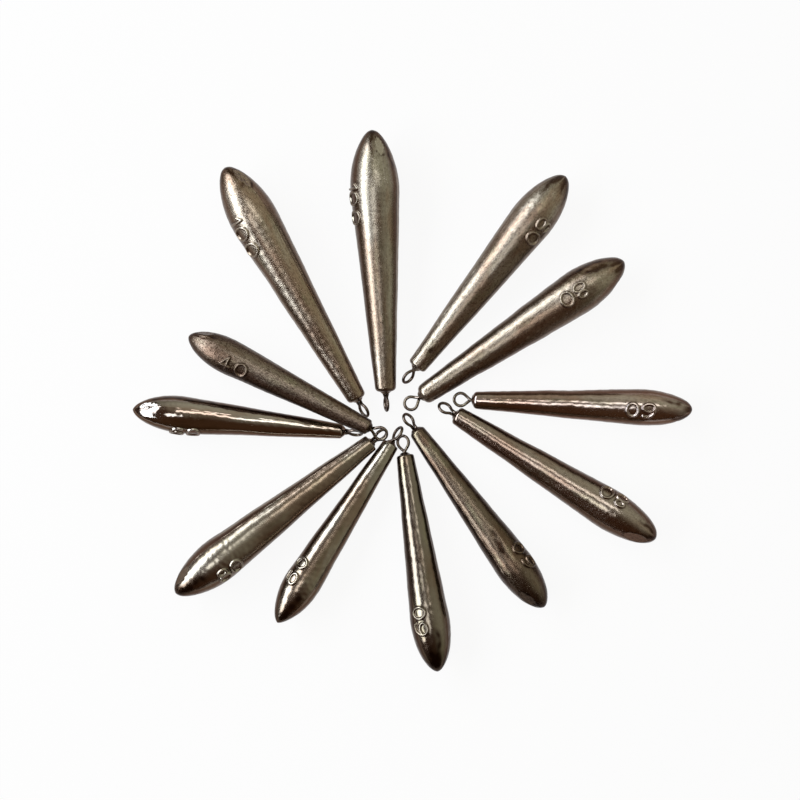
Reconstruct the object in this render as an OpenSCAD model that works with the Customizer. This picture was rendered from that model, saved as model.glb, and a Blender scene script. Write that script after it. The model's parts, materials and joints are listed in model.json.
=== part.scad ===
// A fan of twelve cast-lead fishing sinkers of four weights, each a tapered casting with a cast-in wire eye.
// All twelve lie on the ground plane, eyes towards the middle and noses outwards.

/* [Castings] */
// Length of the 100 g casting, from its neck end to the tip of its nose
length_100g = 87; // [70:0.5:105]
// Largest diameter of the 100 g casting
diameter_100g = 15.8; // [13:0.1:19]
// Diameter of the 100 g casting at its neck end
neck_diameter_100g = 7; // [6:0.1:8.4]
// Length of the rounded nose of the 100 g casting, from its widest place to the tip
nose_length_100g = 20; // [12:0.5:28]
// Sharpness of the nose: at 1 its outline is an ellipse, and above 1 it is more pointed
nose_sharpness = 1.25; // [1:0.05:1.4]
// Radius of the rounded edge at the neck end of the 100 g casting
neck_edge_100g = 1.3; // [0.5:0.1:2]
// Depth of the flat where the gate was cut off the nose
gate_depth = 0.2; // [0.05:0.05:0.4]
// Distance of the gate's middle from the tip of the 100 g casting, along the axis
gate_place_100g = 6; // [4:0.5:10]

/* [Wire eyes] */
// Diameter of the wire
wire_diameter = 1; // [0.8:0.05:1.2]
// Diameter of the eye's hole
eye_hole = 3.3; // [2.8:0.1:4]
// Distance from the neck end to the edge of the eye's hole
shank_length = 2.5; // [2.2:0.1:3.5]
// Depth to which the legs reach into the lead
leg_depth = 12; // [8:0.5:18]
// Length of the hook that is bent outwards at the end of each leg
hook_length = 1.3; // [0.8:0.1:1.6]

/* [Fan] */
// Height of the propped sinker's neck, at its axis, above the top of an eye that stands on edge
prop_rise = 1.7; // [1.5:0.1:2.2]

/* [Hidden] */
$fn = 64;

// The fan, clockwise from the upper left: one entry for each sinker in every table below
// Weight cast into each sinker, in grams
marks = [100, 100, 80, 80, 60, 80, 60, 60, 60, 80, 60, 40];
// Direction of each nose, in degrees anticlockwise from +X
headings = [119.7, 93, 51.9, 33.7, -2.5, -31.8, -54, -81.4, -122.5, -142.4, 174, 153.1];
// How far each sinker is rolled about its axis, which turns its numerals to the left of its heading, in degrees
rolls = [48, 64, -36, 0, -10, 43, 46, -32, -48, 42, 68, 23];
// How much further each eye is twisted than its casting, in degrees
eye_twists = [14, 12, -22, 0, 0, 5, 9, 0, -18, 12, 0, 0];
// How far each neck end stands from the fan's middle along its heading, as shares of the fan's circle
neck_reach_shares = [0.76, 0.59, 1.23, 0.8, 1.85, 1.22, 0.57, 0.94, 0.58, 0.8, 1.15, 0.39];
// How far each neck end stands to the left of its heading, as shares of the fan's circle
neck_side_shares = [0.542, 0.158, 0.298, 0.025, 0.458, 0.797, 0.231, 0.126, 0.296, 0.166, 0.482, 0.5];
// Length and girth to which each casting filled out, as shares of its weight's full size
length_shares = [1.007, 0.988, 0.985, 0.984, 0.976, 0.951, 0.975, 0.977, 0.948, 1.001, 0.942, 1.034];
girth_shares = [0.995, 1.01, 0.985, 0.98, 0.89, 0.91, 0.96, 0.97, 0.91, 0.98, 0.92, 1];
// Girth of each neck end, as a share of its weight's full size
neck_girth_shares = [0.9, 0.96, 0.955, 0.99, 0.94, 0.92, 0.88, 0.96, 0.93, 0.87, 0.81, 0.99];
// Sharpness of each nose, as a share of the usual
sharpness_shares = [1.12, 1.1, 1.04, 0.93, 0.75, 0.78, 0.93, 0.98, 1.11, 1.07, 1.1, 0.93];
// The sinker whose neck lies on its neighbours' eyes
propped_sinker = 11;

// Shares of the fan's circle that one neck and one eye may take
neck_room_share = 0.5;
eye_room_share = 0.5;

// Diameter of the bead that rounds each bend, as a share of the wire's
bead_share = 1.1;
// Where the two strands would meet, as a share of the shank from the neck end
meeting_share = 0.37;
// Distance of each strand from the axis where it turns aside to pass the other, as a share of the wire's diameter
pass_share = 0.9;
// Distance of each leg from the axis, as a share of the wire's diameter
leg_share = 0.62;
// Where the legs become straight, before the neck end, as a share of the wire's diameter
straight_share = 0.75;

// Numbers of straight steps in which the outlines of the nose and of the neck's rounded edge are drawn
nose_steps = 20;
edge_steps = 6;
// Angles between which the place is looked for where the taper runs into the nose, and their step
touch_angles = [70, 110];
touch_step = 0.5;

lead_color = [0.46, 0.42, 0.37];
wire_color = [0.58, 0.53, 0.48];

// The wire's middle line in the ring, the ring's middle from the neck end, and the eye's outer width and length
ring_radius = (eye_hole + wire_diameter) / 2;
ring_distance = shank_length + eye_hole / 2;
eye_width = eye_hole + 2 * wire_diameter;
eye_length = shank_length + eye_hole + wire_diameter;
// Where the middle lines of the strands meet, from the neck end
meeting = shank_length * meeting_share;
// Angle at the ring's middle between the axis and the place where a strand leaves the ring
strand_angle = acos(ring_radius / (ring_distance - meeting));

// Radius of the circle on which the neck ends stand
fan_circle = max(neck_diameter_100g / neck_room_share, eye_length / eye_room_share);

// A casting of a given weight is the 100 g casting scaled by the cube root of the weight
function weight_scale(i) = pow(marks[i] / marks[0], 1 / 3);
function casting_length(i) = length_100g * weight_scale(i) * length_shares[i];
function body_radius(i) = diameter_100g / 2 * weight_scale(i) * girth_shares[i];
function neck_radius(i) = neck_diameter_100g / 2 * weight_scale(i) * neck_girth_shares[i];
function nose_length(i) = nose_length_100g * weight_scale(i) * length_shares[i];
function sharpness(i) = nose_sharpness * sharpness_shares[i];
function neck_edge(i) = neck_edge_100g * weight_scale(i);
function gate_place(i) = gate_place_100g * weight_scale(i);

// Widest place, measured from the neck end, where the nose begins
function nose_start(i) = casting_length(i) - nose_length(i);

// Place on the nose as [distance from the neck end, radius], at an angle of 0 for the tip and 90 for the widest
function nose_point(i, angle) = [
    nose_start(i) + nose_length(i) * cos(angle),
    body_radius(i) * pow(sin(angle), sharpness(i))
];

// Direction in which the nose faces at such an angle, measured from the axis
function nose_facing(i, angle) =
    atan2(
        nose_length(i) * sin(angle),
        body_radius(i) * sharpness(i) * pow(sin(angle), sharpness(i) - 1) * cos(angle)
    );

// Slope of the line to such a place from another place given as [distance, radius]
function slope_from(i, place, angle) =
    let(step = nose_point(i, angle) - place)
    atan2(step[1], step[0]);

// Slope of the line from a place that touches the nose without cutting it, and the angle at which it does
function touch_slope(i, place) =
    max([for (angle = [touch_angles[0]:touch_step:touch_angles[1]]) slope_from(i, place, angle)]);
function touch_angle(i, place) =
    let(slope = touch_slope(i, place))
    [for (angle = [touch_angles[0]:touch_step:touch_angles[1]])
        if (slope_from(i, place, angle) == slope) angle][0];

// Outline of a casting as [distance from the neck end, radius]
function casting_outline(i) =
    let(
        neck_corner = [0, neck_radius(i)],
        slope = touch_slope(i, neck_corner),
        start = touch_angle(i, neck_corner),
        edge = neck_edge(i),
        edge_middle = [edge, neck_radius(i) + edge * tan(slope) - edge / cos(slope)]
    )
    concat(
        [[0, 0]],
        [for (k = [0:edge_steps])
            let(angle = 180 - (90 - slope) * k / edge_steps)
            edge_middle + edge * [cos(angle), sin(angle)]],
        [for (k = [0:nose_steps - 1]) nose_point(i, start * (1 - k / nose_steps))],
        [[casting_length(i), 0]]
    );

// The lowest place of an eye, for the roll of its ring
function eye_low(i) = [
    -ring_distance,
    ring_radius * abs(sin(rolls[i] + eye_twists[i])) + wire_diameter / 2
];

// A sinker lies along its taper, or on its nose and its eye where the eye reaches lower, unless it is propped
function tilt(i) =
    i == propped_sinker
        ? asin((body_radius(i) - eye_width - prop_rise) / nose_start(i))
        : min(touch_slope(i, [0, neck_radius(i)]), touch_slope(i, eye_low(i)));

// Height of the axis at the neck end when the sinker touches the ground
function neck_height(i) =
    max([for (p = casting_outline(i)) p[1] * cos(tilt(i)) - p[0] * sin(tilt(i))]);

// Direction of the axis from the neck to the nose, and the neck end's place about the fan's middle
function axis(i) = [
    cos(tilt(i)) * cos(headings[i]),
    cos(tilt(i)) * sin(headings[i]),
    sin(tilt(i))
];
function neck_place(i) = fan_circle * [
    neck_reach_shares[i] * cos(headings[i]) - neck_side_shares[i] * sin(headings[i]),
    neck_reach_shares[i] * sin(headings[i]) + neck_side_shares[i] * cos(headings[i])
];

// Furthest reach of a casting along the X axis (0) or the Y axis (1), on the positive or negative side
function reach(i, along, side) =
    let(slant = axis(i)[along] * side)
    neck_place(i)[along] * side
        + max([for (p = casting_outline(i)) p[0] * slant + p[1] * sqrt(1 - slant * slant)]);
function fan_reach(along, side) = max([for (i = [0:len(marks) - 1]) reach(i, along, side)]);

// Moves the middle of the whole fan's outline onto the origin
fan_shift = [
    (fan_reach(0, -1) - fan_reach(0, 1)) / 2,
    (fan_reach(1, -1) - fan_reach(1, 1)) / 2
];

// Stands a sinker in its place: modelled along +X from its neck end, numerals facing +Z
module in_place(i) {
    place = neck_place(i) + fan_shift;
    translate([place[0], place[1], neck_height(i)])
        rotate([0, 0, headings[i]])
            rotate([0, -tilt(i), 0])
                rotate([-rolls[i], 0, 0])
                    children();
}

// A straight piece of wire
module wire_run(from, to) {
    run = to - from;
    translate(from)
        rotate([0, acos(run[2] / norm(run)), atan2(run[1], run[0])])
            cylinder(d = wire_diameter, h = norm(run));
}

// The bead that rounds a bend, with its poles along the legs
module bend(at) {
    translate(at)
        rotate([0, 90, 0])
            sphere(d = wire_diameter * bead_share);
}

// One strand: from the ring past the other strand, down its leg in the lead and out into its hook
module strand(side) {
    pass_offset = side * wire_diameter * pass_share;
    leg_offset = side * wire_diameter * leg_share;
    ring_end = [
        ring_radius * cos(strand_angle) - ring_distance,
        side * ring_radius * sin(strand_angle),
        0
    ];
    pass = [-meeting - abs(pass_offset) * tan(strand_angle), pass_offset, 0];
    leg_start = [-wire_diameter * straight_share, 0, leg_offset];
    leg_end = [leg_depth, 0, leg_offset];
    hook_end = leg_end + hook_length / sqrt(2) * [1, 0, side];
    wire_run(ring_end, pass);
    bend(pass);
    wire_run(pass, leg_start);
    bend(leg_start);
    wire_run(leg_start, leg_end);
    bend(leg_end);
    wire_run(leg_end, hook_end);
}

// The whole wire: a ring, and two strands that pass each other and are anchored in the lead
module wire(i) {
    rotate([-eye_twists[i], 0, 0]) {
        translate([-ring_distance, 0, 0])
            rotate([0, 0, strand_angle])
                rotate_extrude(angle = 360 - 2 * strand_angle)
                    translate([ring_radius, 0])
                        circle(d = wire_diameter);
        strand(1);
        strand(-1);
    }
}

// Cutter for the flat at the gate, on the side of the parting plane to the right of the numerals
module gate_cutter(i) {
    angle = acos(1 - gate_place(i) / nose_length(i));
    at = nose_point(i, angle);
    size = 2 * body_radius(i);
    translate([at[0], -at[1], 0])
        rotate([0, 0, -nose_facing(i, angle)])
            translate([-gate_depth, -size / 2, -size / 2])
                cube([size, size, size]);
}

module casting(i) {
    outline = [for (p = casting_outline(i)) [p[1], p[0]]];
    color(lead_color)
        in_place(i)
            difference() {
                rotate([0, 90, 0])
                    rotate_extrude()
                        polygon(outline);
                gate_cutter(i);
                wire(i);
            }
}

module eye(i) {
    color(wire_color)
        in_place(i)
            wire(i);
}

casting(0);  // casting_100g_1
eye(0);  // eye_100g_1
casting(1);  // casting_100g_2
eye(1);  // eye_100g_2
casting(2);  // casting_80g_1
eye(2);  // eye_80g_1
casting(3);  // casting_80g_2
eye(3);  // eye_80g_2
casting(4);  // casting_60g_1
eye(4);  // eye_60g_1
casting(5);  // casting_80g_3
eye(5);  // eye_80g_3
casting(6);  // casting_60g_2
eye(6);  // eye_60g_2
casting(7);  // casting_60g_3
eye(7);  // eye_60g_3
casting(8);  // casting_60g_4
eye(8);  // eye_60g_4
casting(9);  // casting_80g_4
eye(9);  // eye_80g_4
casting(10);  // casting_60g_5
eye(10);  // eye_60g_5
casting(11);  // casting_40g_1
eye(11);  // eye_40g_1
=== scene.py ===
import json
from types import SimpleNamespace

import bpy
import numpy as np
from mathutils import Matrix


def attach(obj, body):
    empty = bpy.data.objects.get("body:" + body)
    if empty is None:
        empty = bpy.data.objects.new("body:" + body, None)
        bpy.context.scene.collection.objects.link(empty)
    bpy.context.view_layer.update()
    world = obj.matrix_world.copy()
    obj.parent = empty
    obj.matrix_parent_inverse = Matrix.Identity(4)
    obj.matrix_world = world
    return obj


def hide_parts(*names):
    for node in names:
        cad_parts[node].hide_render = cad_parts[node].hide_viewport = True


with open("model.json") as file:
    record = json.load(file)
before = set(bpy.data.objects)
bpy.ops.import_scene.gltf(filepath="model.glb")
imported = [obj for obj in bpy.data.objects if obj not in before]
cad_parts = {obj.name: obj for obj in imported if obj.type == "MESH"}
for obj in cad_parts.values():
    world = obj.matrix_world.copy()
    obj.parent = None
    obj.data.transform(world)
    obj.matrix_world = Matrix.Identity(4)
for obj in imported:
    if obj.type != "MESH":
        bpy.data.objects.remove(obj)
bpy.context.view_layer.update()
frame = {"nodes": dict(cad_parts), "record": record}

MM = 0.001

# Sizes of the 100 g casting, in mm: the radii of its body and of its neck end, and the place of the gate
# from the tip. The others are scaled from it by the cube root of their weight.
BODY = 7.9
THROAT = 3.5
GATE = 6.0
# Length of each nose, as a share of its casting's
NOSE_SHARE = 20 / 87
# Radius within which the tip of a nose is worn back, in mm
TIP_WEAR = 1.4

# The wire eye, in mm: the wire, the hole and its distance from the neck end, legs and hooks
WIRE = 1.0
HOLE = 3.3
SHANK = 2.5
LEG_TO = 12.0
HOOK = 1.3
# Middle line of the ring, the ring's middle, where the strands meet, and the angle in radians at which
# they leave the ring, along its tangents
RING = (HOLE + WIRE) / 2
RING_AT = SHANK + HOLE / 2
STRANDS_MEET = 0.37 * SHANK
STRAND_ANGLE = np.arccos(RING / (RING_AT - STRANDS_MEET))
# Where the strands pass each other and where the legs run, in wire diameters
PASS = 0.9
LEG = 0.62
LEG_FROM = 0.75

# The fan, clockwise from the upper left, in mm and degrees. A place on a casting is its distance from the
# tip, and an angle is counted from the line of its numerals towards the left, nose up.
# roll, twist: turn of the casting to the left, and of its eye beyond that
# girth, neck: widths of the body and of the neck end, as shares of what the weight gives them
# edge, sharp, blunt: radius of the neck's rim, power of the nose's outline, and wear of the tip
# numerals, tall, aside: the numerals with their places, their height, and their own angle from that line
# gate_depth, torn, bare: depth of the flat where the gate was, how rough it is, and how bright
# dents: place, angle, half length, half width and depth of each, or its height where that is below 0
# tarnish_and_light, warmth, violet: brightness of the lead, partly its own tarnish and partly painted light
# and shade for the light each casting gets, and how much redder or bluer it is
# slant_shade: share of the plain colour that the painted brown shade leaves where the skin is looked at
# flatly, towards the outline
# grain, mottle: depth of the fine grain, and strength of the fine dark clouds
# roughness, freckles: roughness of the clean metal, and strength of the dark specks
# soot: strength of the soot on the nose
# smears: angle, half width, start and end of each smear of soot
# lines: angle, half width, start and end of each line of the mould, and how dirty it is, or how bare where
# that is below 0
FAN = [
    {"key": "100g_1", "roll": 48, "twist": 14, "girth": 0.995, "neck": 0.9,
     "edge": 1.4, "sharp": 1.32, "blunt": 0.45,
     "numerals": (("1", 18.0), ("0", 22.1), ("0", 28.1)), "tall": 6.0,
     "gate_depth": 0.3, "torn": 0.3,
     "dents": ((40, 40, 5, 3, 0.25), (8.5, -68, 0.9, 0.8, 0.3)),
     "tarnish_and_light": 1.32, "warmth": -0.02, "slant_shade": 0.1, "grain": 0.07, "mottle": 0.6,
     "freckles": 0.4, "soot": 0.5,
     "smears": ((-66, 0.5, 1, 6), (-82, 0.6, 3, 10), (-100, 0.6, 5, 11)),
     "lines": ((-103, 0.25, 25, 80, 0.8), (20, 0.5, 30, 80, -0.6))},
    {"key": "100g_2", "roll": 64, "twist": 12, "girth": 1.01, "neck": 0.96,
     "edge": 1.5, "sharp": 1.38, "blunt": 0.5,
     "numerals": (("1", 19.2), ("0", 22.6), ("0", 28.8)), "tall": 6.0,
     "gate_depth": 0.22, "torn": 0.1, "bare": 0.95,
     "tarnish_and_light": 1.2, "warmth": -0.05, "slant_shade": 0.055, "grain": 0.06, "mottle": 0.35,
     "roughness": 0.28, "freckles": 0.5, "soot": 0.6,
     "smears": ((-66, 0.7, 0.5, 4), (-58, 0.35, 3, 9), (-120, 0.6, 4, 14)),
     "lines": ((-126, 0.3, 20, 80, 0.9), (-132, 0.45, 15, 80, -1))},
    {"key": "80g_1", "roll": -36, "twist": -22, "girth": 0.985, "neck": 0.955,
     "edge": 1.1, "sharp": 1.34, "blunt": 0.4,
     "numerals": (("8", 17.7), ("0", 23.0)), "tall": 5.4,
     "dents": ((72.5, 24, 1.0, 0.8, 0.3),),
     "tarnish_and_light": 1.25, "warmth": -0.03, "slant_shade": 0.2, "grain": 0.08, "mottle": 0.55,
     "roughness": 0.3, "soot": 0.9,
     "smears": ((67, 0.8, 2, 10), (10, 0.5, 1, 6.5), (-20, 0.6, 3, 9)),
     "lines": ((-21, 0.3, 15, 75, 0.8), (104, 0.5, 15, 75, -0.6))},
    {"key": "80g_2", "roll": 0, "twist": 0, "girth": 0.98, "neck": 0.99,
     "edge": 1.9, "sharp": 1.17, "blunt": 0.0,
     "numerals": (("8", 17.1), ("0", 22.4)), "tall": 5.55,
     "dents": ((9, 32, 1.6, 1.2, 0.4), (12, 38, 1.2, 0.9, 0.35), (6, 26, 1.0, 0.8, 0.25),
               (62, -60, 5, 2.5, 0.35)),
     "tarnish_and_light": 1.2, "slant_shade": 0.14, "grain": 0.08, "mottle": 0.5,
     "roughness": 0.28, "soot": 0.8,
     "smears": ((31, 1.0, 6, 12), (12, 0.5, 1, 5), (-22, 0.6, 1, 5), (58, 0.7, 6, 16)),
     "lines": ((-58, 0.35, 30, 78, 0.8),)},
    {"key": "60g_1", "roll": -10, "twist": 0, "girth": 0.89, "neck": 0.94,
     "edge": 1.3, "sharp": 1.06, "blunt": 0.0,
     "numerals": (("6", 14.4), ("0", 19.7)), "tall": 5.2,
     "tarnish_and_light": 1.6, "violet": 0.14, "slant_shade": 0.034, "grain": 0.02, "mottle": 0.3,
     "roughness": 0.15, "soot": 0.7,
     "smears": ((36, 0.6, 4, 10.5), (10, 0.8, 0, 3), (-40, 0.5, 2, 8))},
    {"key": "80g_3", "roll": 43, "twist": 5, "girth": 0.91, "neck": 0.92,
     "edge": 1.2, "sharp": 1.08, "blunt": 0.0,
     "numerals": (("8", 16.3), ("0", 21.6)), "tall": 5.6,
     "gate_depth": 0.4, "bare": 0.1,
     "tarnish_and_light": 1.12, "violet": 0.08, "slant_shade": 0.034, "grain": 0.03, "mottle": 0.4,
     "roughness": 0.19, "soot": 0.5,
     "smears": ((-50, 0.8, 0, 3), (-20, 0.5, 2, 8))},
    {"key": "60g_2", "roll": 46, "twist": 9, "girth": 0.96, "neck": 0.88,
     "edge": 1.3, "sharp": 1.18, "blunt": 0.05,
     "numerals": (("6", 15.0), ("0", 20.6)), "tall": 4.9,
     "gate_depth": 0.3, "bare": 0.1,
     "dents": ((26, -46, 1.6, 1.0, 0.3), (29, -40, 1.2, 0.9, 0.25), (24, -52, 1.0, 0.8, 0.25)),
     "tarnish_and_light": 0.46, "warmth": 0.1, "slant_shade": 0.055, "grain": 0.07, "mottle": 0.35,
     "soot": 0.5,
     "smears": ((-75, 0.8, 1, 9), (-46, 0.7, 20, 26)),
     "lines": ((-90, 0.25, 22, 72, 0.8), (-67, 0.3, 30, 60, 0.8))},
    {"key": "60g_3", "roll": -32, "twist": 0, "girth": 0.97, "neck": 0.96,
     "edge": 0.8, "sharp": 1.24, "blunt": 0.1,
     "numerals": (("6", 14.8), ("0", 20.0)), "tall": 5.1, "aside": 2,
     "tarnish_and_light": 0.66, "slant_shade": 0.034, "grain": 0.008, "mottle": 0.12,
     "roughness": 0.2, "freckles": 0.2, "soot": 0.9,
     "smears": ((20, 1.2, 2, 9), (50, 0.8, 4, 14)),
     "lines": ((-24, 0.3, 15, 72, 0.8),)},
    {"key": "60g_4", "roll": -48, "twist": -18, "girth": 0.91, "neck": 0.93,
     "edge": 0.6, "sharp": 1.44, "blunt": 0.2,
     "numerals": (("6", 15.3), ("0", 21.0)), "tall": 4.9, "aside": 8,
     "tarnish_and_light": 1.15, "warmth": -0.06, "slant_shade": 0.02, "grain": 0.004, "mottle": 0.05,
     "roughness": 0.23, "freckles": 0.15, "soot": 0.7,
     "smears": ((62, 1.4, 2, 13),)},
    {"key": "80g_4", "roll": 42, "twist": 12, "girth": 0.98, "neck": 0.87,
     "edge": 0.5, "sharp": 1.3, "blunt": 0.3,
     "numerals": (("8", 16.7), ("0", 21.6)), "tall": 5.4, "aside": 3,
     "gate_depth": 0.3, "bare": 0.3,
     "tarnish_and_light": 1.2, "warmth": -0.06, "slant_shade": 0.03, "grain": 0.004, "mottle": 0.05,
     "freckles": 0.15, "soot": 0.6,
     "smears": ((-30, 1.4, 1, 12),),
     "lines": ((-74, 0.2, 35, 78, 0.8), (-95, 0.25, 20, 78, 0.9), (-110, 0.5, 20, 78, -0.9))},
    {"key": "60g_5", "roll": 68, "twist": 0, "girth": 0.92, "neck": 0.81,
     "edge": 1, "sharp": 1.3, "blunt": 0.05,
     "numerals": (("6", 15.0), ("0", 20.4)), "tall": 5.5,
     "gate_depth": 0.3, "torn": 0.22, "bare": 0.1,
     "tarnish_and_light": 1.4, "warmth": -0.06, "violet": 0.1, "slant_shade": 0, "grain": 0.012, "mottle": 0.12,
     "roughness": 0.1, "freckles": 0.35, "soot": 0,
     "smears": ((-80, 0.3, 2, 7), (-128, 0.7, 6, 60)),
     "lines": ((8, 0.4, 25, 75, -0.8),)},
    {"key": "40g_1", "roll": 23, "twist": 0, "girth": 1.0, "neck": 0.99,
     "edge": 0.8, "sharp": 1.16, "blunt": 0.0,
     "numerals": (("4", 15.2), ("0", 20.8)), "tall": 5.1,
     "dents": ((5, -78, 1.6, 1.2, -0.45), (8, -70, 0.8, 0.8, 0.25)),
     "tarnish_and_light": 0.72, "warmth": 0.06, "violet": 0.04, "slant_shade": 0.075, "grain": 0.1, "mottle": 0.8,
     "roughness": 0.3, "freckles": 1.0, "soot": 0.2,
     "smears": ((-48, 0.3, 1, 7), (-66, 0.35, 3, 10)),
     "lines": ((-87, 0.5, 15, 62, -0.7),)},
]
# What holds where a row says nothing else
USUAL = {
    "aside": 0, "gate_depth": 0.25, "torn": 0.08, "bare": 0.45, "dents": (),
    "warmth": 0, "violet": 0, "roughness": 0.24, "freckles": 0.7, "lines": (),
}

HOLES = {mount["name"]: mount["pos_m"] for mount in frame["record"]["mounts"]}


def corners_of(node):
    """Corners of a solid from the frame, in mm."""
    vertices = frame["nodes"][node].data.vertices
    flat = np.empty(3 * len(vertices), np.float32)
    vertices.foreach_get("co", flat)
    return flat.reshape(-1, 3) / MM


def measured(number, row):
    """A row of the fan with its sizes and with its place, as the frame has it. The axis runs from the
    middle of the eye's hole to the point of the casting that is furthest from there, the tip. The sizes
    are the 100 g casting's, scaled by the cube root of the weight."""
    key = row["key"]
    hole = np.array(HOLES["eye_" + key + "_hole"]) / MM
    corners = corners_of("casting_" + key)
    away = np.linalg.norm(corners - hole, axis=1)
    axis = (corners[np.argmax(away)] - hole) / away.max()
    scale = (int(key.split("g")[0]) / 100) ** (1 / 3)
    length = away.max() - RING_AT
    return {
        **USUAL,
        **row,
        "number": number,
        "start": hole + RING_AT * axis,
        "heading": np.degrees(np.arctan2(axis[1], axis[0])),
        "tilt": np.degrees(np.arcsin(axis[2])),
        "length": length,
        "nose": NOSE_SHARE * length,
        "body": BODY * scale * row["girth"],
        "throat": THROAT * scale * row["neck"],
        "gate": GATE * scale,
    }


SINKERS = [measured(number, row) for number, row in enumerate(FAN)]


def turn(axis, degrees):
    """Matrix of a turn by an angle about X (0), Y (1) or Z (2): the cosine on the diagonal of the other
    two axes, and the sine off it, less than 0 in the first of their rows."""
    cosine = np.cos(np.radians(degrees))
    sine = np.sin(np.radians(degrees))
    second = (axis + 1) % 3
    third = (axis + 2) % 3
    matrix = np.eye(3)
    matrix[second, second] = cosine
    matrix[second, third] = -sine
    matrix[third, second] = sine
    matrix[third, third] = cosine
    return matrix


def in_place(sinker, points):
    """Points of a sinker that lies along +X from its neck, numerals up: rolled, tilted, headed and moved,
    in m."""
    matrix = turn(2, sinker["heading"]) @ turn(1, -sinker["tilt"]) @ turn(0, -sinker["roll"])
    return (points @ matrix.T + sinker["start"]) * MM


# Distance in mm between the patterns of one sinker and the next, so that no two look alike
PATTERN_APART = 31.0


def piece(name, sinker, points, faces, masks, slot, material, stands_for):
    """A smooth mesh in its place. Its own place on the sinker is kept as the attribute "own", for its
    patterns, and its masks are attributes too."""
    mesh = bpy.data.meshes.new(name)
    mesh.from_pydata(in_place(sinker, points).tolist(), [], faces)
    mesh.validate()
    place = (points + [0, 0, PATTERN_APART * sinker["number"]]).astype(np.float32)
    mesh.attributes.new("own", "FLOAT_VECTOR", "POINT").data.foreach_set("vector", place.ravel())
    for label, values in masks.items():
        mesh.attributes.new(label, "FLOAT", "POINT").data.foreach_set("value", values.astype(np.float32))
    mesh.polygons.foreach_set("use_smooth", np.ones(len(mesh.polygons), bool))
    mesh.materials.append(material)
    ob = bpy.data.objects.new(name, mesh)
    bpy.context.scene.collection.objects.link(ob)
    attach(ob, "sinker_" + sinker["key"])
    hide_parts(stands_for)


def closed_grid(rows, columns):
    """Faces of a grid that is closed round its columns, between a first and a last point that are its
    poles: quads between neighbouring rows, and a fan of triangles about each pole."""
    row = np.arange(rows - 1)[:, None]
    column = np.arange(columns)
    following = (column + 1) % columns
    near = 1 + row * columns + column
    beside = 1 + row * columns + following
    quads = np.stack([near, beside, beside + columns, near + columns], -1).reshape(-1, 4)
    first = np.stack([np.zeros_like(column), 1 + following, 1 + column], -1)
    top = 1 + (rows - 1) * columns
    last = np.stack([np.full_like(column, top + columns), top + column, top + following], -1)
    return first.tolist() + quads.tolist() + last.tolist()


# Samples from which the places of a grid are worked out
SPACING_SAMPLES = 4000


def spaced(low, high, spacing):
    """Places from low to high whose distance follows the spacing function: equal steps of the integral of
    one over the spacing."""
    fine = np.linspace(low, high, SPACING_SAMPLES)
    count = np.concatenate([[0], np.cumsum(np.diff(fine) / spacing((fine[1:] + fine[:-1]) / 2))])
    return np.interp(np.linspace(0, count[-1], int(np.ceil(count[-1])) + 1), count, fine)


def bell(x, width):
    """Smooth bump: e to the power of minus the square of x over the width."""
    return np.exp(-(x / width) ** 2)


def step(x, low, high):
    """Smooth step from 0 at low to 1 at high: three squares less two cubes of the share of the way."""
    t = np.clip((x - low) / (high - low), 0, 1)
    return t * t * (3 - 2 * t)


def between(x, low, high, fade_in, fade_out):
    """1 between low and high: a smooth step up that ends at low, times a smooth step down that starts at
    high."""
    return step(x, low - fade_in, low) * (1 - step(x, high, high + fade_out))


# Numerals


def ring_stroke(x, y, rx, ry, start=0, end=360):
    """Points along an ellipse's arc: its middle, plus its radii times the cosine and the sine of the
    angle."""
    a = np.radians(np.linspace(start, end, 90))
    return np.stack([x + rx * np.cos(a), y + ry * np.sin(a)], -1)


def line_stroke(*ends):
    """Points along the straight runs between ends."""
    return np.concatenate([np.linspace(a, b, 30) for a, b in zip(ends[:-1], ends[1:])])


# Strokes of each numeral: reading direction and height, as shares of the numeral's height from its middle
STROKES = {
    "0": [ring_stroke(0, 0, 0.36, 0.41)],
    "1": [line_stroke((0.04, -0.44), (0.04, 0.44), (-0.2, 0.2))],
    "4": [line_stroke((0.12, -0.44), (0.12, 0.44), (-0.32, -0.16), (0.34, -0.16))],
    "6": [ring_stroke(0, -0.17, 0.37, 0.25), ring_stroke(0.14, -0.13, 0.51, 0.55, 65, 180)],
    "8": [ring_stroke(0, -0.2, 0.36, 0.24), ring_stroke(0, 0.26, 0.27, 0.18)],
}
# Half sides of the field in which a numeral's strokes are looked for, as shares of its height
FIELD_ALONG = 0.7
FIELD_ACROSS = 0.8
# Distance that stands for no stroke nearby, in mm
FAR = 9.0
# Half widths of a stroke at its top and at its foot, and its height, in mm
STROKE_TOP = 0.2
STROKE_FOOT = 0.52
STROKE_HEIGHT = 0.55
# How bare the tops of the numerals are rubbed
RUBBED = 0.6
# Strength of the painted shade about a numeral, a dark outline at the foot of its strokes, its distance
# from the strokes, and half its width, in mm
NUMERAL_SHADE = 0.6
NUMERAL_SHADE_AT = 0.64
NUMERAL_SHADE_WIDTH = 0.18


def stroke_distance(sinker, grid):
    """Distance in mm to the nearest stroke of the numerals, the least over their points. The numerals are
    read from the nose to the neck, with their tops on the side of -Y."""
    arc = off_line(grid, np.radians(sinker["aside"]))
    away = np.full(arc.shape, FAR)
    for numeral, from_tip in sinker["numerals"]:
        s = (grid.back - from_tip) / sinker["tall"]
        t = arc / sinker["tall"]
        near = (np.abs(s) < FIELD_ALONG) & (np.abs(t) < FIELD_ACROSS)
        at = np.stack([s[near], t[near]], -1)
        for stroke in STROKES[numeral]:
            nearest = np.min(np.linalg.norm(at[:, None] - stroke[None], axis=-1), axis=1)
            away[near] = np.minimum(away[near], nearest * sinker["tall"])
    return away


# Castings


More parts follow.
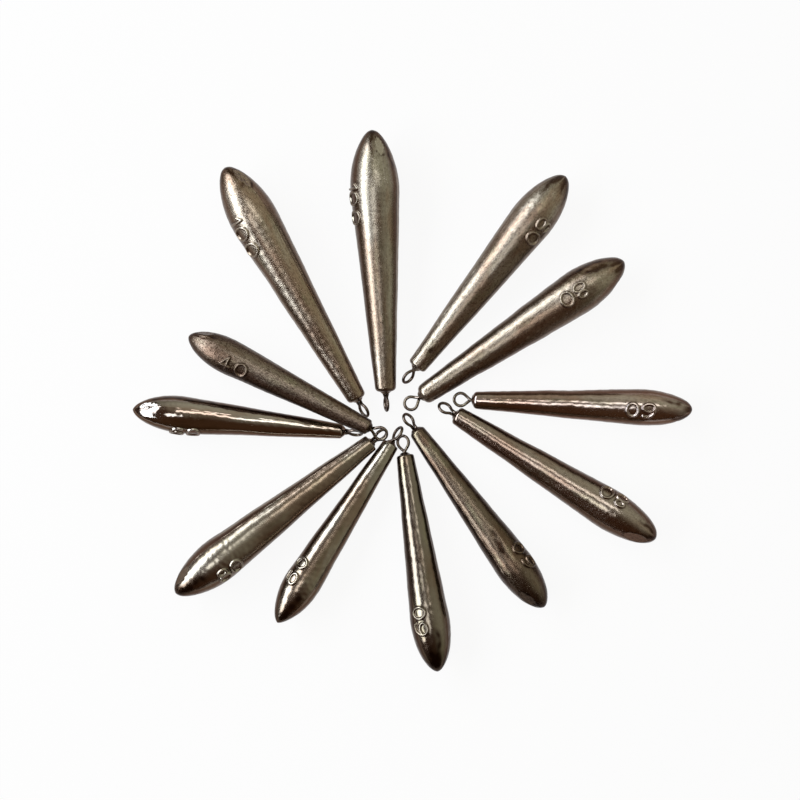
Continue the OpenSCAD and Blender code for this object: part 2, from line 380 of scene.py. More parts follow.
def nose_outline(sinker, angle):
    """Outline of the nose at angles from its tip, past its widest place at a right angle: the distance
    from the neck end goes by the cosine, and the radius is the body's times a power of the sine."""
    x = sinker["length"] - sinker["nose"] + sinker["nose"] * np.cos(angle)
    return np.stack([x, sinker["body"] * np.sin(angle) ** sinker["sharp"]], -1)


# Angles of the nose between which the taper touches it, about its widest place
TOUCH_FROM = 112
TOUCH_TO = 62.1


def outline(sinker):
    """Outline of the casting, densely: distance from the neck end and radius. A flat end, a rounded edge,
    a straight taper and the nose, which the taper touches where the line to it from the throat is
    steepest. A bell about the axis wears the tip back."""
    throat, edge = sinker["throat"], sinker["edge"]
    widest = np.radians(np.linspace(TOUCH_FROM, TOUCH_TO, 500))
    curve = nose_outline(sinker, widest)
    slopes = np.arctan2(curve[:, 1] - throat, curve[:, 0])
    touch = widest[np.argmax(slopes)]
    slope = slopes.max()
    middle = np.array([edge, throat + edge * np.tan(slope) - edge / np.cos(slope)])
    turned = np.linspace(np.pi, np.pi / 2 + slope, 24)[:, None]
    nose = nose_outline(sinker, touch * (1 - np.linspace(0, 1, 400)))
    nose[:, 0] -= sinker["blunt"] * bell(nose[:, 1], TIP_WEAR)
    return np.concatenate([
        np.linspace([0, 0], [0, middle[1]], 60)[:-1],
        middle + edge * np.concatenate([np.cos(turned), np.sin(turned)], 1),
        nose,
    ])


# Steps of a casting's grid along its outline, in mm: on plain parts, on the numerals, at the neck and at
# the nose, and how far the last two reach
ROW = 0.6
ROW_ON_NUMERALS = 0.15
ROW_AT_NECK = 0.18
ROW_AT_NOSE = 0.3
NECK_REACH = 6
NOSE_REACH = 12
# Length over which the steps along the outline change, in mm, and the share of the numerals' half width
# from which the steps round the axis do
ROW_BLEND = 2
COLUMN_BLEND = 0.8
# Room for the numerals beyond the last one's middle and before the first one's, and half its width, in mm
ROOM_BEYOND = 4.6
ROOM_BEFORE = 2.2
ROOM_HALF = 5.0
# Steps of the grid round the axis, in degrees: on plain parts, on the numerals and on the mould's lines,
# and how far the fine steps reach beside the parting lines and beside the other lines
COLUMN = 3.6
COLUMN_ON_NUMERALS = 1.1
COLUMN_ON_LINES = 0.9
SEAM_REACH = 7
LINE_REACH = 5
# Where the mould's relief starts and ends, in mm from the neck end and from the tip, and how far it fades
# there
RELIEF_FROM = 6
RELIEF_TO = 3
RELIEF_FADE_IN = 3.5
RELIEF_FADE_OUT = 2.5


def casting_grid(sinker):
    """The smooth skin of a casting, its outline turned round its axis, as arrays over the stations along
    the outline and the angles round the axis. An angle is 0 at the numerals and grows towards -Y. The
    stations' axial and radial shares of the tangent give the normal."""
    line = outline(sinker)
    run = np.concatenate([[0], np.cumsum(np.hypot(*np.diff(line, axis=0).T))])
    total = run[-1]
    places = [from_tip for _, from_tip in sinker["numerals"]]
    numerals_from = total - max(places) - ROOM_BEYOND
    numerals_to = total - min(places) + ROOM_BEFORE

    def row_spacing(s):
        on_numerals = between(s, numerals_from, numerals_to, ROW_BLEND, ROW_BLEND)
        at_neck = 1 - step(s, NECK_REACH, NECK_REACH + ROW_BLEND)
        at_nose = step(s, total - NOSE_REACH - ROW_BLEND, total - NOSE_REACH) * (1 - on_numerals)
        finer = (ROW - ROW_ON_NUMERALS) * on_numerals + (ROW - ROW_AT_NECK) * at_neck
        return ROW - finer - (ROW - ROW_AT_NOSE) * at_nose

    def column_spacing(angle):
        off = np.abs(np.degrees(angle))
        reach = np.degrees(ROOM_HALF / sinker["body"])
        on_numerals = 1 - step(off, reach * COLUMN_BLEND, reach)
        on_lines = bell(off - 90, SEAM_REACH)
        for at, *_ in sinker["lines"]:
            aside = (np.degrees(angle) + at + 180) % 360 - 180
            on_lines = np.maximum(on_lines, bell(aside, LINE_REACH))
        finer = (COLUMN - COLUMN_ON_NUMERALS) * on_numerals
        return np.radians(COLUMN - finer - (COLUMN - COLUMN_ON_LINES) * on_lines * (1 - on_numerals))

    stations = spaced(0, total, row_spacing)[1:-1]
    angles = spaced(-np.pi, np.pi, column_spacing)[:-1]
    x = np.interp(stations, run, line[:, 0])
    r = np.interp(stations, run, line[:, 1])
    tangent = np.stack([np.gradient(x, stations), np.gradient(r, stations)], -1)
    tangent /= np.linalg.norm(tangent, axis=1, keepdims=True)
    x, around = np.meshgrid(x, angles, indexing="ij")
    r = np.repeat(r[:, None], len(angles), 1)
    along = np.repeat(stations[:, None], len(angles), 1)
    return SimpleNamespace(
        x=x, r=r, around=around, along=along, back=sinker["length"] - x,
        axial=tangent[:, 0:1], radial=tangent[:, 1:2],
        plain=between(along, RELIEF_FROM, total - RELIEF_TO, RELIEF_FADE_IN, RELIEF_FADE_OUT),
    )


def off_line(grid, angle):
    """Distance in mm, round the casting, from a line along it at an angle in radians towards the left:
    the difference of the angles, brought within half a turn, times the radius."""
    return np.angle(np.exp(1j * (grid.around + angle))) * grid.r


def wavering(place, rng, slowest, fastest):
    """A sine of a place, with a wave number drawn between two limits and a drawn phase."""
    return np.sin(place * rng.uniform(slowest, fastest) + rng.uniform(0, 6))


# Strength of the soot at the tip, where it starts to fade and where it ends in mm from there, and the
# share of it that is wiped off in the streaks
NOSE_SOOT = 0.85
SOOT_FADES_AT = 2
SOOT_ENDS_AT = 8
WIPED_SHARE = 0.85


def nose_soot(sinker, grid, rng):
    """Soot on the nose: it fades away from the tip by a smooth step, and it is wiped off in streaks where
    the sum of two sines round the axis is high."""
    streaks = np.sin(7 * grid.around + rng.uniform(0, 6))
    streaks += 0.6 * np.sin(13 * grid.around + rng.uniform(0, 6))
    left = 1 - WIPED_SHARE * step(streaks, 0.3, 1.1)
    return NOSE_SOOT * sinker["soot"] * (1 - step(grid.back, SOOT_FADES_AT, SOOT_ENDS_AT)) * left


# Least radius that a smear's width is measured at, in mm, so that it stays a streak at the tip, how far
# its line wanders in radians, and its strength and how much that varies
SMEAR_RADIUS = 1.2
SMEAR_WANDER = 0.06
SMEAR_SOOT = 0.95
SMEAR_VARIES = 0.25


def smeared_soot(sinker, grid, rng):
    """Smears of soot that run back from the nose: each is a bell about a line that wavers, between its
    start and its end, and its strength wavers too."""
    soot = np.zeros_like(grid.x)
    for at, wide, near, far in sinker["smears"]:
        wander = np.radians(at) + SMEAR_WANDER * wavering(grid.back, rng, 0.5, 1.2)
        off = np.angle(np.exp(1j * (grid.around + wander))) * np.maximum(grid.r, SMEAR_RADIUS)
        smear = bell(off, wide) * between(grid.back, near + 1, far - 2, 2, 3)
        soot += smear * (SMEAR_SOOT + SMEAR_VARIES * wavering(grid.back, rng, 1.5, 3))
    return soot


# Length over which a line of the mould fades at its ends, in mm
LINE_FADE = 6


def mould_lines(sinker, grid):
    """Straight lines left by the mould, each a bell across its line with faded ends: how dirty and how
    bare."""
    dirty = np.zeros_like(grid.x)
    bare = np.zeros_like(grid.x)
    for at, wide, near, far, dark in sinker["lines"]:
        ends = between(grid.back, near + LINE_FADE / 2, far - LINE_FADE / 2, LINE_FADE, LINE_FADE)
        line = bell(off_line(grid, np.radians(at)), wide) * ends
        dirty += max(dark, 0) * line
        bare += max(-dark, 0) * line
    return dirty, bare


# Swells of the mould, slow ones and fine ones: how many, between which wave lengths along the casting and
# which numbers of lobes round it, and how high, all lengths in mm
SLOW_SWELLS = 9
SLOW_WAVES = (9, 45)
SLOW_LOBES = (0, 4)
SLOW_HEIGHTS = (0.01, 0.035)
FINE_SWELLS = 14
FINE_WAVES = (1.6, 6)
FINE_LOBES = (2, 12)
FINE_HEIGHT = 0.006


def swell(grid, rng, waves, lobes):
    """A sine along the casting times a cosine round it, with a drawn wave length, lobes and phases."""
    wave = rng.uniform(*waves)
    lobe_count = rng.integers(*lobes)
    phase, lean = rng.uniform(0, 2 * np.pi, 2)
    return grid.plain * np.sin(2 * np.pi * grid.x / wave + phase) * np.cos(lobe_count * grid.around + lean)


def swells(grid, rng):
    """Height of the mould's swells: the sum of slow ones, each of its own height, and of fine ones that
    break the highlights."""
    height = np.zeros_like(grid.x)
    for _ in range(SLOW_SWELLS):
        slow = swell(grid, rng, SLOW_WAVES, SLOW_LOBES)
        height += rng.uniform(*SLOW_HEIGHTS) * slow
    for _ in range(FINE_SWELLS):
        height += FINE_HEIGHT * swell(grid, rng, FINE_WAVES, FINE_LOBES)
    return height


# Height and half width of the ridges at the parting line, how much one half of the mould stands proud,
# and half the width of the step up to it, in mm
SEAM_HEIGHT = 0.09
SEAM_WIDTH = 0.22
HALF_PROUD = 0.03
HALF_STEP = 0.15


def parting_line(grid, rng):
    """Height of a low ridge on both sides, a bell across it whose height wavers, and of the half of the
    mould that stands proud."""
    height = np.zeros_like(grid.x)
    for side in (-1, 1):
        off = (grid.around - side * np.pi / 2) * grid.r
        broken = 0.55 + 0.25 * wavering(grid.x, rng, 0.3, 0.5) + 0.2 * wavering(grid.x, rng, 1.1, 1.9)
        height += SEAM_HEIGHT * broken * bell(off, SEAM_WIDTH)
    height += HALF_PROUD * step(np.cos(grid.around) * grid.r, -HALF_STEP, HALF_STEP)
    return grid.plain * height


# Half length in mm below which a dent is darker, and how much
SMALL_DENT = 3
DENT_DARK = 0.8


def dents(sinker, grid):
    """Depth of the dents, each a bell along the casting times a bell round it, and how much darker the
    small ones are."""
    depth = np.zeros_like(grid.x)
    dent_dark = np.zeros_like(grid.x)
    for place, at, long, wide, deep in sinker["dents"]:
        hollow = bell(grid.back - place, long) * bell(off_line(grid, np.radians(at)), wide)
        depth += deep * hollow
        if 0 < deep and long < SMALL_DENT:
            # The small dents are darker
            dent_dark += DENT_DARK * hollow
    return depth, dent_dark


# The gate's flat, in mm: how far its rim wavers, how deep behind its rim it starts to be torn, is fully
# torn and is fully bare, and half the width of its dark rim
RIM_WAVER = 0.08
TORN_FROM = 0.02
TORN_AT = 0.25
BARE_AT = 0.08
RIM_WIDTH = 0.06
# How much darker its rim and its hollows are, and the share of the nose's soot that broke off with it
GATE_DARK = 0.9
GATE_CLEAN = 0.6


def broken_gate(sinker, points, worn, soot):
    """The casting with the flat where its gate was broken off, on the side of -Y, square to the nose's
    outline there. What stands out beyond it goes back to it, less the product of two sines that waver,
    which leaves it torn. Its face is bare, its rim is dark, and so are its hollows."""
    nose, body, sharp, number = (sinker[k] for k in ("nose", "body", "sharp", "number"))
    a = np.arccos(1 - sinker["gate"] / nose)
    x, r = nose_outline(sinker, a)
    slope = np.arctan2(nose * np.sin(a), body * sharp * np.sin(a) ** (sharp - 1) * np.cos(a))
    out = np.array([np.cos(slope), -np.sin(slope), 0])
    along = points[..., 0]
    across = points[..., 2]
    waves = np.sin(2.6 * along + 1.3 * np.sin(1.9 * across + number) + number)
    waves *= np.sin(3.1 * across + 1.1 * np.sin(1.7 * along) + 2 * number)
    beyond = (points - [x, -r, 0]) @ out + sinker["gate_depth"] + RIM_WAVER * waves
    inside = step(beyond, TORN_FROM, TORN_AT)
    points = points - (np.clip(beyond, 0, None) - sinker["torn"] * waves * inside)[..., None] * out
    worn = np.maximum(worn, sinker["bare"] * step(beyond, 0, BARE_AT))
    hollows = min(1, 5 * sinker["torn"]) * inside * step(-waves, 0.15, 0.5)
    rim = bell(beyond + TORN_FROM, RIM_WIDTH) * step(waves, -0.7, 0.2)
    # The rim and the hollows of the gate's flat are darker
    soot = soot * (1 - GATE_CLEAN * inside) + GATE_DARK * np.maximum(hollows, rim)
    return points, worn, soot


# Collar of lead drawn up round the wire at the neck end, in mm: limits of its height, where its inner
# edge lies and how far that wavers, and where it ends
COLLAR_HEIGHTS = (0.5, 0.9)
COLLAR_FROM = 0.9
COLLAR_WAVER = 0.2
COLLAR_TO = 2.1
# Seed of the first casting's random draws
FIRST_SEED = 100


def casting_surface(sinker):
    """The casting's skin. Each point of the smooth grid moves out along the outline's normal by the sum
    of the relief's heights, and two masks say how worn it is and how dark: soot, dirt, darker dents and
    gate marks, and the painted shade about the numerals. The neck end has a collar of lead, drawn up round
    the wire."""
    rng = np.random.default_rng(FIRST_SEED + sinker["number"])
    grid = casting_grid(sinker)
    away = stroke_distance(sinker, grid)
    raised = 1 - step(away, STROKE_TOP, STROKE_FOOT)
    dirty, bare = mould_lines(sinker, grid)
    depth, dent_dark = dents(sinker, grid)
    soot = nose_soot(sinker, grid, rng) + smeared_soot(sinker, grid, rng)
    # Painted shade: a dark outline at the foot of the numerals' strokes goes into the soot mask
    soot += NUMERAL_SHADE * bell(away - NUMERAL_SHADE_AT, NUMERAL_SHADE_WIDTH) + dirty + dent_dark
    height = STROKE_HEIGHT * raised + swells(grid, rng) + parting_line(grid, rng) - depth
    collar = rng.uniform(*COLLAR_HEIGHTS)
    inner = COLLAR_FROM + COLLAR_WAVER * np.sin(grid.around + sinker["number"])
    height += collar * (1 - step(grid.along, inner, COLLAR_TO)) * (grid.x < 1)

    x = grid.x - height * grid.radial
    r = grid.r + height * grid.axial
    points = np.stack([x, -r * np.sin(grid.around), r * np.cos(grid.around)], -1)
    points, worn, soot = broken_gate(sinker, points, RUBBED * raised + bare, soot)
    masks = {}
    # The soot mask holds the painted shade about the numerals as well as soot and dirt
    for name, values in (("worn", worn), ("soot", soot)):
        masks[name] = np.concatenate([[0], np.clip(values, 0, 1).ravel(), [0]])
    neck_pole = [[-collar, 0, 0]]
    tip_pole = [[sinker["length"] - sinker["blunt"], 0, 0]]
    rows, columns = grid.x.shape
    return np.concatenate([neck_pole, points.reshape(-1, 3), tip_pole]), closed_grid(rows, columns), masks


# Wire eyes


def strand(side):
    """Corners of the wire from the ring's end to the end of the hook, on one side."""
    slack = WIRE * PASS
    leg = np.array([0, 0, side * WIRE * LEG])
    leg_end = leg + [LEG_TO, 0, 0]
    return np.array([
        [-STRANDS_MEET - slack * np.tan(STRAND_ANGLE), side * slack, 0],
        leg - [WIRE * LEG_FROM, 0, 0],
        leg_end,
        leg_end + HOOK / np.sqrt(2) * np.array([1, 0, side]),
    ])


# Points along the wire before its bends are softened, and how far the softening reaches, in points
WIRE_POINTS = 420
SOFT = 5
# Points round the wire, how far its ends are domed in mm, and how uneven its thickness is, as a share
WIRE_SIDES = 16
DOME = 0.1
UNEVEN_SHARE = 0.02
# A direction that the wire doesn't run in at its start, from which its frame is set up
START_SIDE = (0.3, 0.9, 0.2)


def wire_path(sinker):
    """Middle line of the bent wire: hook, leg, strand, ring, strand, leg, hook. A Gaussian average along
    it, with both ends continued by their reflection, softens the bends, and every second point is
    kept."""
    arc = np.linspace(-STRAND_ANGLE, -2 * np.pi + STRAND_ANGLE, 60)
    ring = np.stack([RING * np.cos(arc) - RING_AT, RING * np.sin(arc), 0 * arc], -1)
    corners = np.concatenate([strand(-1)[::-1], ring, strand(1)])
    run = np.concatenate([[0], np.cumsum(np.linalg.norm(np.diff(corners, axis=0), axis=1))])
    at = np.linspace(0, run[-1], WIRE_POINTS)
    path = np.stack([np.interp(at, run, corners[:, k]) for k in range(3)], -1)
    reach = 2 * SOFT
    kernel = bell(np.arange(-reach, reach + 1), SOFT * 0.8)
    kernel /= kernel.sum()
    before = 2 * path[0] - path[reach:0:-1]
    after = 2 * path[-1] - path[-2:-reach - 2:-1]
    padded = np.concatenate([before, path, after])
    path = np.stack([np.convolve(padded[:, k], kernel, "valid") for k in range(3)], -1)
    return path[::2] @ turn(0, -sinker["twist"]).T


def wire_surface(sinker):
    """The wire's skin: a circle carried along the middle line, its frame turned as little as possible,
    with a slow sine in its thickness. Its ends are a little domed."""
    path = wire_path(sinker)
    tangent = np.gradient(path, axis=0)
    tangent /= np.linalg.norm(tangent, axis=1, keepdims=True)
    side = np.empty_like(path)
    across = np.cross(tangent[0], START_SIDE)
    for k, forward in enumerate(tangent):
        across = across - forward * (across @ forward)
        across /= np.linalg.norm(across)
        side[k] = across
    other = np.cross(tangent, side)
    a = np.linspace(0, 2 * np.pi, WIRE_SIDES, endpoint=False)[None, :, None]
    thick = WIRE / 2 * (1 + UNEVEN_SHARE * np.sin(np.arange(len(path)) * 0.37))[:, None, None]
    rings = path[:, None] + thick * (np.cos(a) * side[:, None] + np.sin(a) * other[:, None])
    first = path[:1] - DOME * tangent[:1]
    last = path[-1:] + DOME * tangent[-1:]
    return np.concatenate([first, rings.reshape(-1, 3), last]), closed_grid(len(path), WIRE_SIDES), {}


# Finishes


def group(name, inputs, outputs):
    """An empty shader node group with named sockets, its input node and its output node."""
    tree = bpy.data.node_groups.new(name, "ShaderNodeTree")
    for label, kind in inputs:
        tree.interface.new_socket(label, in_out="INPUT", socket_type="NodeSocket" + kind)
    for label, kind in outputs:
        tree.interface.new_socket(label, in_out="OUTPUT", socket_type="NodeSocket" + kind)
    return tree, tree.nodes.new("NodeGroupInput"), tree.nodes.new("NodeGroupOutput")


def stretched(tree, place, scale):
    """A place with each of its parts multiplied."""
    node = tree.nodes.new("ShaderNodeVectorMath")
    node.operation = "MULTIPLY"
    node.inputs[1].default_value = scale
    tree.links.new(place, node.inputs[0])
    return node.outputs[0]


def noise(tree, place, scale, detail=4.0, rough=0.55):
    """Fractal noise at a place, from 0 to 1."""
    node = tree.nodes.new("ShaderNodeTexNoise")
    node.inputs["Scale"].default_value = scale
    node.inputs["Detail"].default_value = detail
    node.inputs["Roughness"].default_value = rough
    tree.links.new(place, node.inputs["Vector"])
    return node.outputs["Fac"]


def mask(tree, name):
    """A piece's mask, read from its attribute."""
    node = tree.nodes.new("ShaderNodeAttribute")
    node.attribute_name = name
    return node.outputs["Fac"]


def reckoned(tree, operation, a, b, clamp=False):
    """Two values, sockets or numbers, added, multiplied or otherwise reckoned together."""
    node = tree.nodes.new("ShaderNodeMath")
    node.operation = operation
    node.use_clamp = clamp
    for socket, value in zip(node.inputs, (a, b)):
        if isinstance(value, (int, float)):
            socket.default_value = value
        else:
            tree.links.new(value, socket)
    return node.outputs[0]


def ranged(tree, value, low, high, to_low=0.0, to_high=1.0):
    """A value mapped from one range to another by a smooth step."""
    node = tree.nodes.new("ShaderNodeMapRange")
    node.interpolation_type = "SMOOTHSTEP"
    for name, limit in zip(("From Min", "From Max", "To Min", "To Max"), (low, high, to_low, to_high)):
        node.inputs[name].default_value = limit
    tree.links.new(value, node.inputs["Value"])
    return node.outputs["Result"]


def mixed(tree, factor, a, b, blend="MIX"):
    """The colour a, mixed with the colour b or multiplied by it, by a factor from 0 to 1."""
    node = tree.nodes.new("ShaderNodeMix")
    node.data_type = "RGBA"
    node.blend_type = blend
    for name, kind, value in (("Factor", "VALUE", factor), ("A", "RGBA", a), ("B", "RGBA", b)):
        socket = next(s for s in node.inputs if s.name == name and s.type == kind)
        if isinstance(value, (int, float, tuple)):
            socket.default_value = value
        else:
            tree.links.new(value, socket)
    return next(s for s in node.outputs if s.type == "RGBA")


# Colour of the olive clouds in the tarnish
OLIVE = (0.3, 0.29, 0.19, 1)


def make_patina():
    """Tarnish of bare metal. Noise at several scales, drawn out along the piece and cut to a range, gives
    brown and olive clouds, dark specks in patches, and fine dark clouds. The skin is rougher there, and
    its height is a sum of grain and scuffs, less pits."""
    tree, given, result = group(
        "patina",
        [("Place", "Vector"), ("Metal", "Color"), ("Warm", "Color"), ("Dark", "Color"),
         ("Freckles", "Float"), ("Roughness", "Float"), ("Mottle", "Float")],
        [("Colour", "Color"), ("Roughness", "Float"), ("Height", "Float")])
    place = given.outputs["Place"]

    def clouds(stretch, scale, detail, rough=0.55):
        return noise(tree, stretched(tree, place, stretch), scale, detail, rough)

    brown = ranged(tree, clouds((0.035, 0.16, 0.16), 1.0, 3.0), 0.42, 0.64)
    colour = mixed(tree, brown, given.outputs["Metal"], given.outputs["Warm"])
    olive = ranged(tree, clouds((0.06, 0.24, 0.24), 1.3, 3.0), 0.5, 0.7, 0.0, 0.45)
    colour = mixed(tree, olive, colour, OLIVE)
    freckles = ranged(tree, clouds((0.8, 1.3, 1.3), 1.5, 5.0, 0.62), 0.53, 0.72)
    patches = ranged(tree, clouds((0.09, 0.2, 0.2), 0.9, 2.0), 0.4, 0.62)
    spots = reckoned(tree, "MULTIPLY", freckles, patches)
    spots = reckoned(tree, "MULTIPLY", spots, given.outputs["Freckles"])
    colour = mixed(tree, spots, colour, given.outputs["Dark"])
    mottle = ranged(tree, clouds((1.0, 2.2, 2.2), 1.0, 4.0, 0.65), 0.45, 0.7)
    mottle = reckoned(tree, "MULTIPLY", mottle, given.outputs["Mottle"])
    colour = mixed(tree, mottle, colour, given.outputs["Dark"])

    grain = noise(tree, place, 3.2, 6.0, 0.7)
    uneven = reckoned(tree, "MULTIPLY", ranged(tree, grain, 0.35, 0.7, -0.15, 0.3), given.outputs["Mottle"])
    rough = reckoned(tree, "ADD", given.outputs["Roughness"], uneven)
    rough = reckoned(tree, "ADD", rough, reckoned(tree, "MULTIPLY", spots, 0.25), True)

    scuffs = clouds((0.5, 3.2, 3.2), 1.4, 4.0, 0.6)
    pits = ranged(tree, noise(tree, place, 1.7, 2.0), 0.66, 0.76)
    height = reckoned(tree, "MULTIPLY", grain, 0.5)
    height = reckoned(tree, "ADD", height, reckoned(tree, "MULTIPLY", scuffs, 0.35))
    height = reckoned(tree, "SUBTRACT", height, reckoned(tree, "MULTIPLY", pits, 0.8))
    for name, value in (("Colour", colour), ("Roughness", rough), ("Height", height)):
        tree.links.new(value, result.inputs[name])
    return tree


PATINA = make_patina()

# Colours of a metal, of its brown tarnish and of its dark specks: the lead's and the steel wire's
LEAD_COLOURS = ((0.375, 0.33, 0.265), (0.3, 0.22, 0.16), (0.055, 0.027, 0.015))
STEEL_COLOURS = ((0.24, 0.2, 0.17), (0.15, 0.115, 0.095), (0.05, 0.03, 0.02))
STEEL_LOOKS = {"freckles": 0.6, "roughness": 0.25, "grain": 0.02, "slant_shade": 0.055, "mottle": 0.45}
# Tint of the painted brown shade that darkens the metal towards its outline, where the skin is seen at a
# slant, and how flatly the skin is looked at where the shade starts to show and where all of it shows, from
# 0 for straight on to 1 for along the skin
SLANT_SHADE = (0.17, 0.078, 0.032, 1)
SLANT_SHADE_FROM = 0.12
SLANT_SHADE_TO = 0.45
WHITE = (1, 1, 1, 1)
# Shares of the soot's mask, which holds painted shade too, and of the wear's mask, how much brighter worn
# metal is, and how much of the painted slant shade it loses
SOOT_SHARE = 0.92
WORN_SHARE = 0.6
WORN_BRIGHTER = 1.25
WORN_UNSHADED = 0.35


def metal(name, colours, looks):
    """A bare metal under the patina, which reads the piece's own place in mm. Soot mixes its dark colour
    in, with the painted shade that its mask holds too, and wear mixes in a brighter one. A painted brown
    shade multiplies that by its tint, the more the flatter the skin is looked at, until only the share
    "slant_shade" of the plain colour is left: it darkens the metal towards its outline.
    Wear takes a part of that shade away."""
    clean, brown, dark = ((*colour, 1) for colour in colours)
    material = bpy.data.materials.new(name)
    material.use_nodes = True
    tree = material.node_tree
    shader = tree.nodes["Principled BSDF"]
    shader.inputs["Metallic"].default_value = 1.0

    place = tree.nodes.new("ShaderNodeAttribute")
    place.attribute_name = "own"
    patina = tree.nodes.new("ShaderNodeGroup")
    patina.node_tree = PATINA
    tree.links.new(place.outputs["Vector"], patina.inputs["Place"])
    patina.inputs["Metal"].default_value = clean
    patina.inputs["Warm"].default_value = brown
    patina.inputs["Dark"].default_value = dark
    patina.inputs["Freckles"].default_value = looks["freckles"]
    patina.inputs["Roughness"].default_value = looks["roughness"]
    patina.inputs["Mottle"].default_value = looks["mottle"]
    tree.links.new(patina.outputs["Roughness"], shader.inputs["Roughness"])

    grain = tree.nodes.new("ShaderNodeBump")
    grain.inputs["Strength"].default_value = 1.0
    grain.inputs["Distance"].default_value = looks["grain"] * MM
    tree.links.new(patina.outputs["Height"], grain.inputs["Height"])
    tree.links.new(grain.outputs["Normal"], shader.inputs["Normal"])

    worn = mask(tree, "worn")
    sooty = reckoned(tree, "MULTIPLY", mask(tree, "soot"), SOOT_SHARE)
    tone = mixed(tree, sooty, patina.outputs["Colour"], dark)
    bright = (*(WORN_BRIGHTER * v for v in colours[0]), 1)
    tone = mixed(tree, reckoned(tree, "MULTIPLY", worn, WORN_SHARE), tone, bright)
    # Painted shade: a brown tint darkens the colour towards the outline, where the skin is seen at a slant
    slant = tree.nodes.new("ShaderNodeLayerWeight")
    slant.inputs["Blend"].default_value = 0.5
    seen = ranged(tree, slant.outputs["Facing"], SLANT_SHADE_FROM, SLANT_SHADE_TO, 1.0, looks["slant_shade"])
    seen = reckoned(tree, "ADD", seen, reckoned(tree, "MULTIPLY", worn, WORN_UNSHADED), True)
    slant_shade = mixed(tree, seen, SLANT_SHADE, WHITE)
    tree.links.new(mixed(tree, 1.0, tone, slant_shade, "MULTIPLY"), shader.inputs["Base Color"])
    return material


def lead(sinker):
    """The lead of one casting: its colours times its brightness, partly its own tarnish and partly painted
    light and shade, with more red and less blue by its warmth, and more blue by its violet."""
    warmth = sinker["warmth"]
    # Painted light and shade in part: each casting's lead is made brighter or darker for the light it gets
    tint = sinker["tarnish_and_light"] * np.array([1 + warmth, 1, 1 - 0.7 * warmth + sinker["violet"]])
    return metal("lead_" + sinker["key"], (tint * LEAD_COLOURS).tolist(), sinker)


STEEL = metal("eye_wire", STEEL_COLOURS, STEEL_LOOKS)

for sinker in SINKERS:
    key = sinker["key"]
    piece("cast_" + key, sinker, *casting_surface(sinker), "lead", lead(sinker), "casting_" + key)
    piece("wire_" + key, sinker, *wire_surface(sinker), "wire", STEEL, "eye_" + key)

# Floor, light and camera, in m

# Half the side of the floor, how pale it is, and the share of plain white that it shows the camera
FLOOR_HALF = 6
FLOOR_PALE = (0.85, 0.85, 0.85, 1)
FLOOR_WHITE = 0.92
# Softboxes, each with its azimuth and its angle from straight up in degrees, its sides, its power in W
# and its colour, and how far they all stand from the middle of the fan
LAMPS = {
    "window": (167, 55, (0.56, 2.0), 21.5, (0.88, 0.93, 1.0)),
    "overhead": (72, 20, (0.22, 0.5), 1.0, (1, 0.98, 0.95)),
    "glow": (200, 13, (0.34, 0.34), 1.1, (1, 1, 1)),
}
LAMP_AWAY = 1.2
# The photograph's middle on the floor, its width, the height at which it has that width, and how far
# above that height the camera stands
VIEW_MIDDLE = (-0.00407, 0.00016)
VIEW_WIDTH = 0.2623
VIEW_HEIGHT = 0.005
CAMERA_AWAY = 0.62
# Width of the camera's sensor in mm
SENSOR = 36
# Colours of the room on the near side and on the far right, the direction between them, and where along
# it the first ends and the second starts
ROOM_DARK = (0.068, 0.031, 0.014, 1)
ROOM_PALE = (0.5, 0.48, 0.38, 1)
ROOM_ACROSS = (0.77, 0.64)
ROOM_FROM = -0.18
ROOM_TO = 0.75


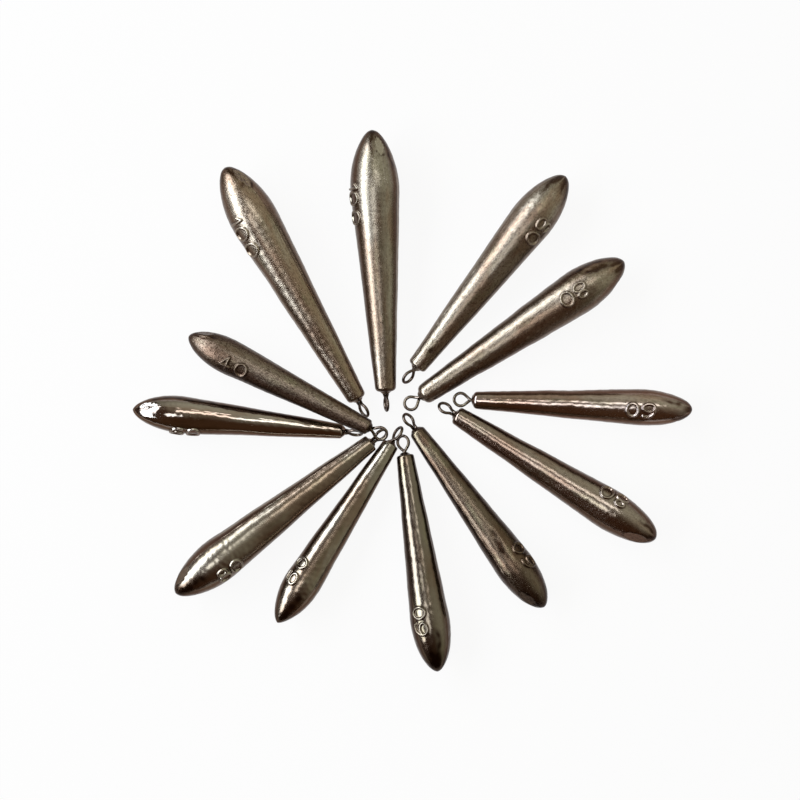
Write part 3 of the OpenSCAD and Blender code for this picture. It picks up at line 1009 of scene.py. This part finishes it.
def floor():
    """A large pale floor that keeps a share of the shadow: part lit, and part plain white where the
    camera, a reflection or a look through something sees it."""
    mesh = bpy.data.meshes.new("floor")
    low = -FLOOR_HALF
    high = FLOOR_HALF
    mesh.from_pydata([(low, low, 0), (high, low, 0), (high, high, 0), (low, high, 0)], [], [(0, 1, 2, 3)])
    ob = bpy.data.objects.new("floor", mesh)
    bpy.context.scene.collection.objects.link(ob)
    material = bpy.data.materials.new("floor")
    material.use_nodes = True
    tree = material.node_tree
    tree.nodes.clear()
    lit = tree.nodes.new("ShaderNodeBsdfDiffuse")
    lit.inputs["Color"].default_value = FLOOR_PALE
    plain = tree.nodes.new("ShaderNodeEmission")
    plain.inputs["Color"].default_value = WHITE
    plain.inputs["Strength"].default_value = 1.0
    path = tree.nodes.new("ShaderNodeLightPath")
    seen = reckoned(tree, "MAXIMUM", path.outputs["Is Camera Ray"], path.outputs["Is Glossy Ray"])
    seen = reckoned(tree, "MAXIMUM", seen, path.outputs["Is Transmission Ray"])
    mix = tree.nodes.new("ShaderNodeMixShader")
    tree.links.new(reckoned(tree, "MULTIPLY", seen, FLOOR_WHITE), mix.inputs["Fac"])
    tree.links.new(lit.outputs["BSDF"], mix.inputs[1])
    tree.links.new(plain.outputs["Emission"], mix.inputs[2])
    out = tree.nodes.new("ShaderNodeOutputMaterial")
    tree.links.new(mix.outputs["Shader"], out.inputs["Surface"])
    mesh.materials.append(material)


def lamp(name, azimuth, from_top, sides, power, colour):
    """A rectangular softbox that looks at the middle of the fan: tipped from straight up, then turned."""
    light = bpy.data.lights.new(name, "AREA")
    light.shape = "RECTANGLE"
    light.size, light.size_y = sides
    light.energy = power
    light.color = colour
    ob = bpy.data.objects.new(name, light)
    bpy.context.scene.collection.objects.link(ob)
    turned = turn(2, azimuth) @ turn(1, from_top)
    place = np.eye(4)
    place[:3, :3] = turned
    place[:3, 3] = turned[:, 2] * LAMP_AWAY
    ob.matrix_world = Matrix(place.tolist())


def camera():
    """Straight down on the fan, level with the photograph's frame. The lens is to the sensor as the
    distance is to the view's width."""
    data = bpy.data.cameras.new("camera")
    data.sensor_width = SENSOR
    data.lens = SENSOR * CAMERA_AWAY / VIEW_WIDTH
    data.clip_start = 0.05
    data.clip_end = 50
    ob = bpy.data.objects.new("camera", data)
    bpy.context.scene.collection.objects.link(ob)
    ob.location = (*VIEW_MIDDLE, CAMERA_AWAY + VIEW_HEIGHT)
    bpy.context.scene.camera = ob


def room():
    """The dim room that the metal mirrors: dark and warm on the near side, olive grey on the far right,
    mixed by a smooth step across."""
    world = bpy.data.worlds.new("room")
    bpy.context.scene.world = world
    world.use_nodes = True
    tree = world.node_tree
    back = tree.nodes["Background"]
    way = tree.nodes.new("ShaderNodeTexCoord")
    apart = tree.nodes.new("ShaderNodeSeparateXYZ")
    tree.links.new(way.outputs["Generated"], apart.inputs[0])
    shares = [reckoned(tree, "MULTIPLY", apart.outputs[k], share) for k, share in enumerate(ROOM_ACROSS)]
    across = ranged(tree, reckoned(tree, "ADD", *shares), ROOM_FROM, ROOM_TO)
    tree.links.new(mixed(tree, across, ROOM_DARK, ROOM_PALE), back.inputs["Color"])
    back.inputs["Strength"].default_value = 1.0


floor()
for name, values in LAMPS.items():
    lamp(name, *values)
camera()
room()

view = bpy.context.scene.view_settings
view.view_transform = "Standard"
